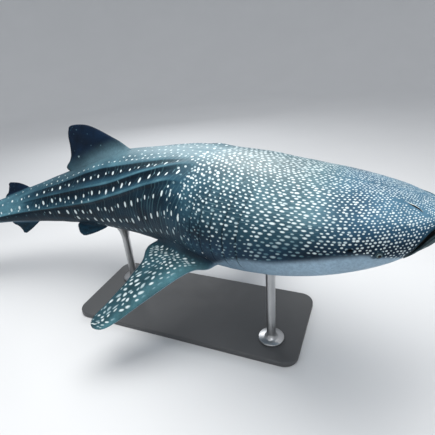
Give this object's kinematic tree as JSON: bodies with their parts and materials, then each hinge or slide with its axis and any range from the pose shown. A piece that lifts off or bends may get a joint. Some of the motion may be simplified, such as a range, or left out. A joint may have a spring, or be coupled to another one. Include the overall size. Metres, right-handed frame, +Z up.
{
  "type": "life-size whale shark display model",
  "caption": "Spotted whale shark with ridged flanks and a broad, slightly open mouth, in a gentle swimming bend, held over a flat base by two rods.",
  "frame": {"origin": "centre of the underside of the stand's flat base, on the floor", "axes": "+X ahead, along the chord of the body from tail to snout; +Y to the animal's left; +Z up"},
  "size_m": [7.6087, 2.9635, 2.3969],
  "materials": {
    "skin": "matt to satin grey-blue skin with pale spots and bars, white below",
    "mouth_lining": "dark, damp lining",
    "eye": "glossy, near black",
    "stand_paint": "satin dark grey paint",
    "stand_steel": "brushed"
  },
  "bodies": {
    "root": {"head": "skin", "lower_jaw": "skin", "trunk_front": "skin", "trunk_middle": "skin", "trunk_rear": "skin", "tail_stalk": "skin", "first_dorsal_fin": "skin", "second_dorsal_fin": "skin", "anal_fin": "skin", "caudal_fin_upper": "skin", "caudal_fin_lower": "skin", "pectoral_fin_left": "skin", "pectoral_fin_right": "skin", "pelvic_fin_left": "skin", "pelvic_fin_right": "skin", "eye_left": "eye", "eye_right": "eye", "stand_base": "stand_paint", "stand_rod_front": "stand_steel", "stand_rod_rear": "stand_steel"}
  },
  "joints": []
}
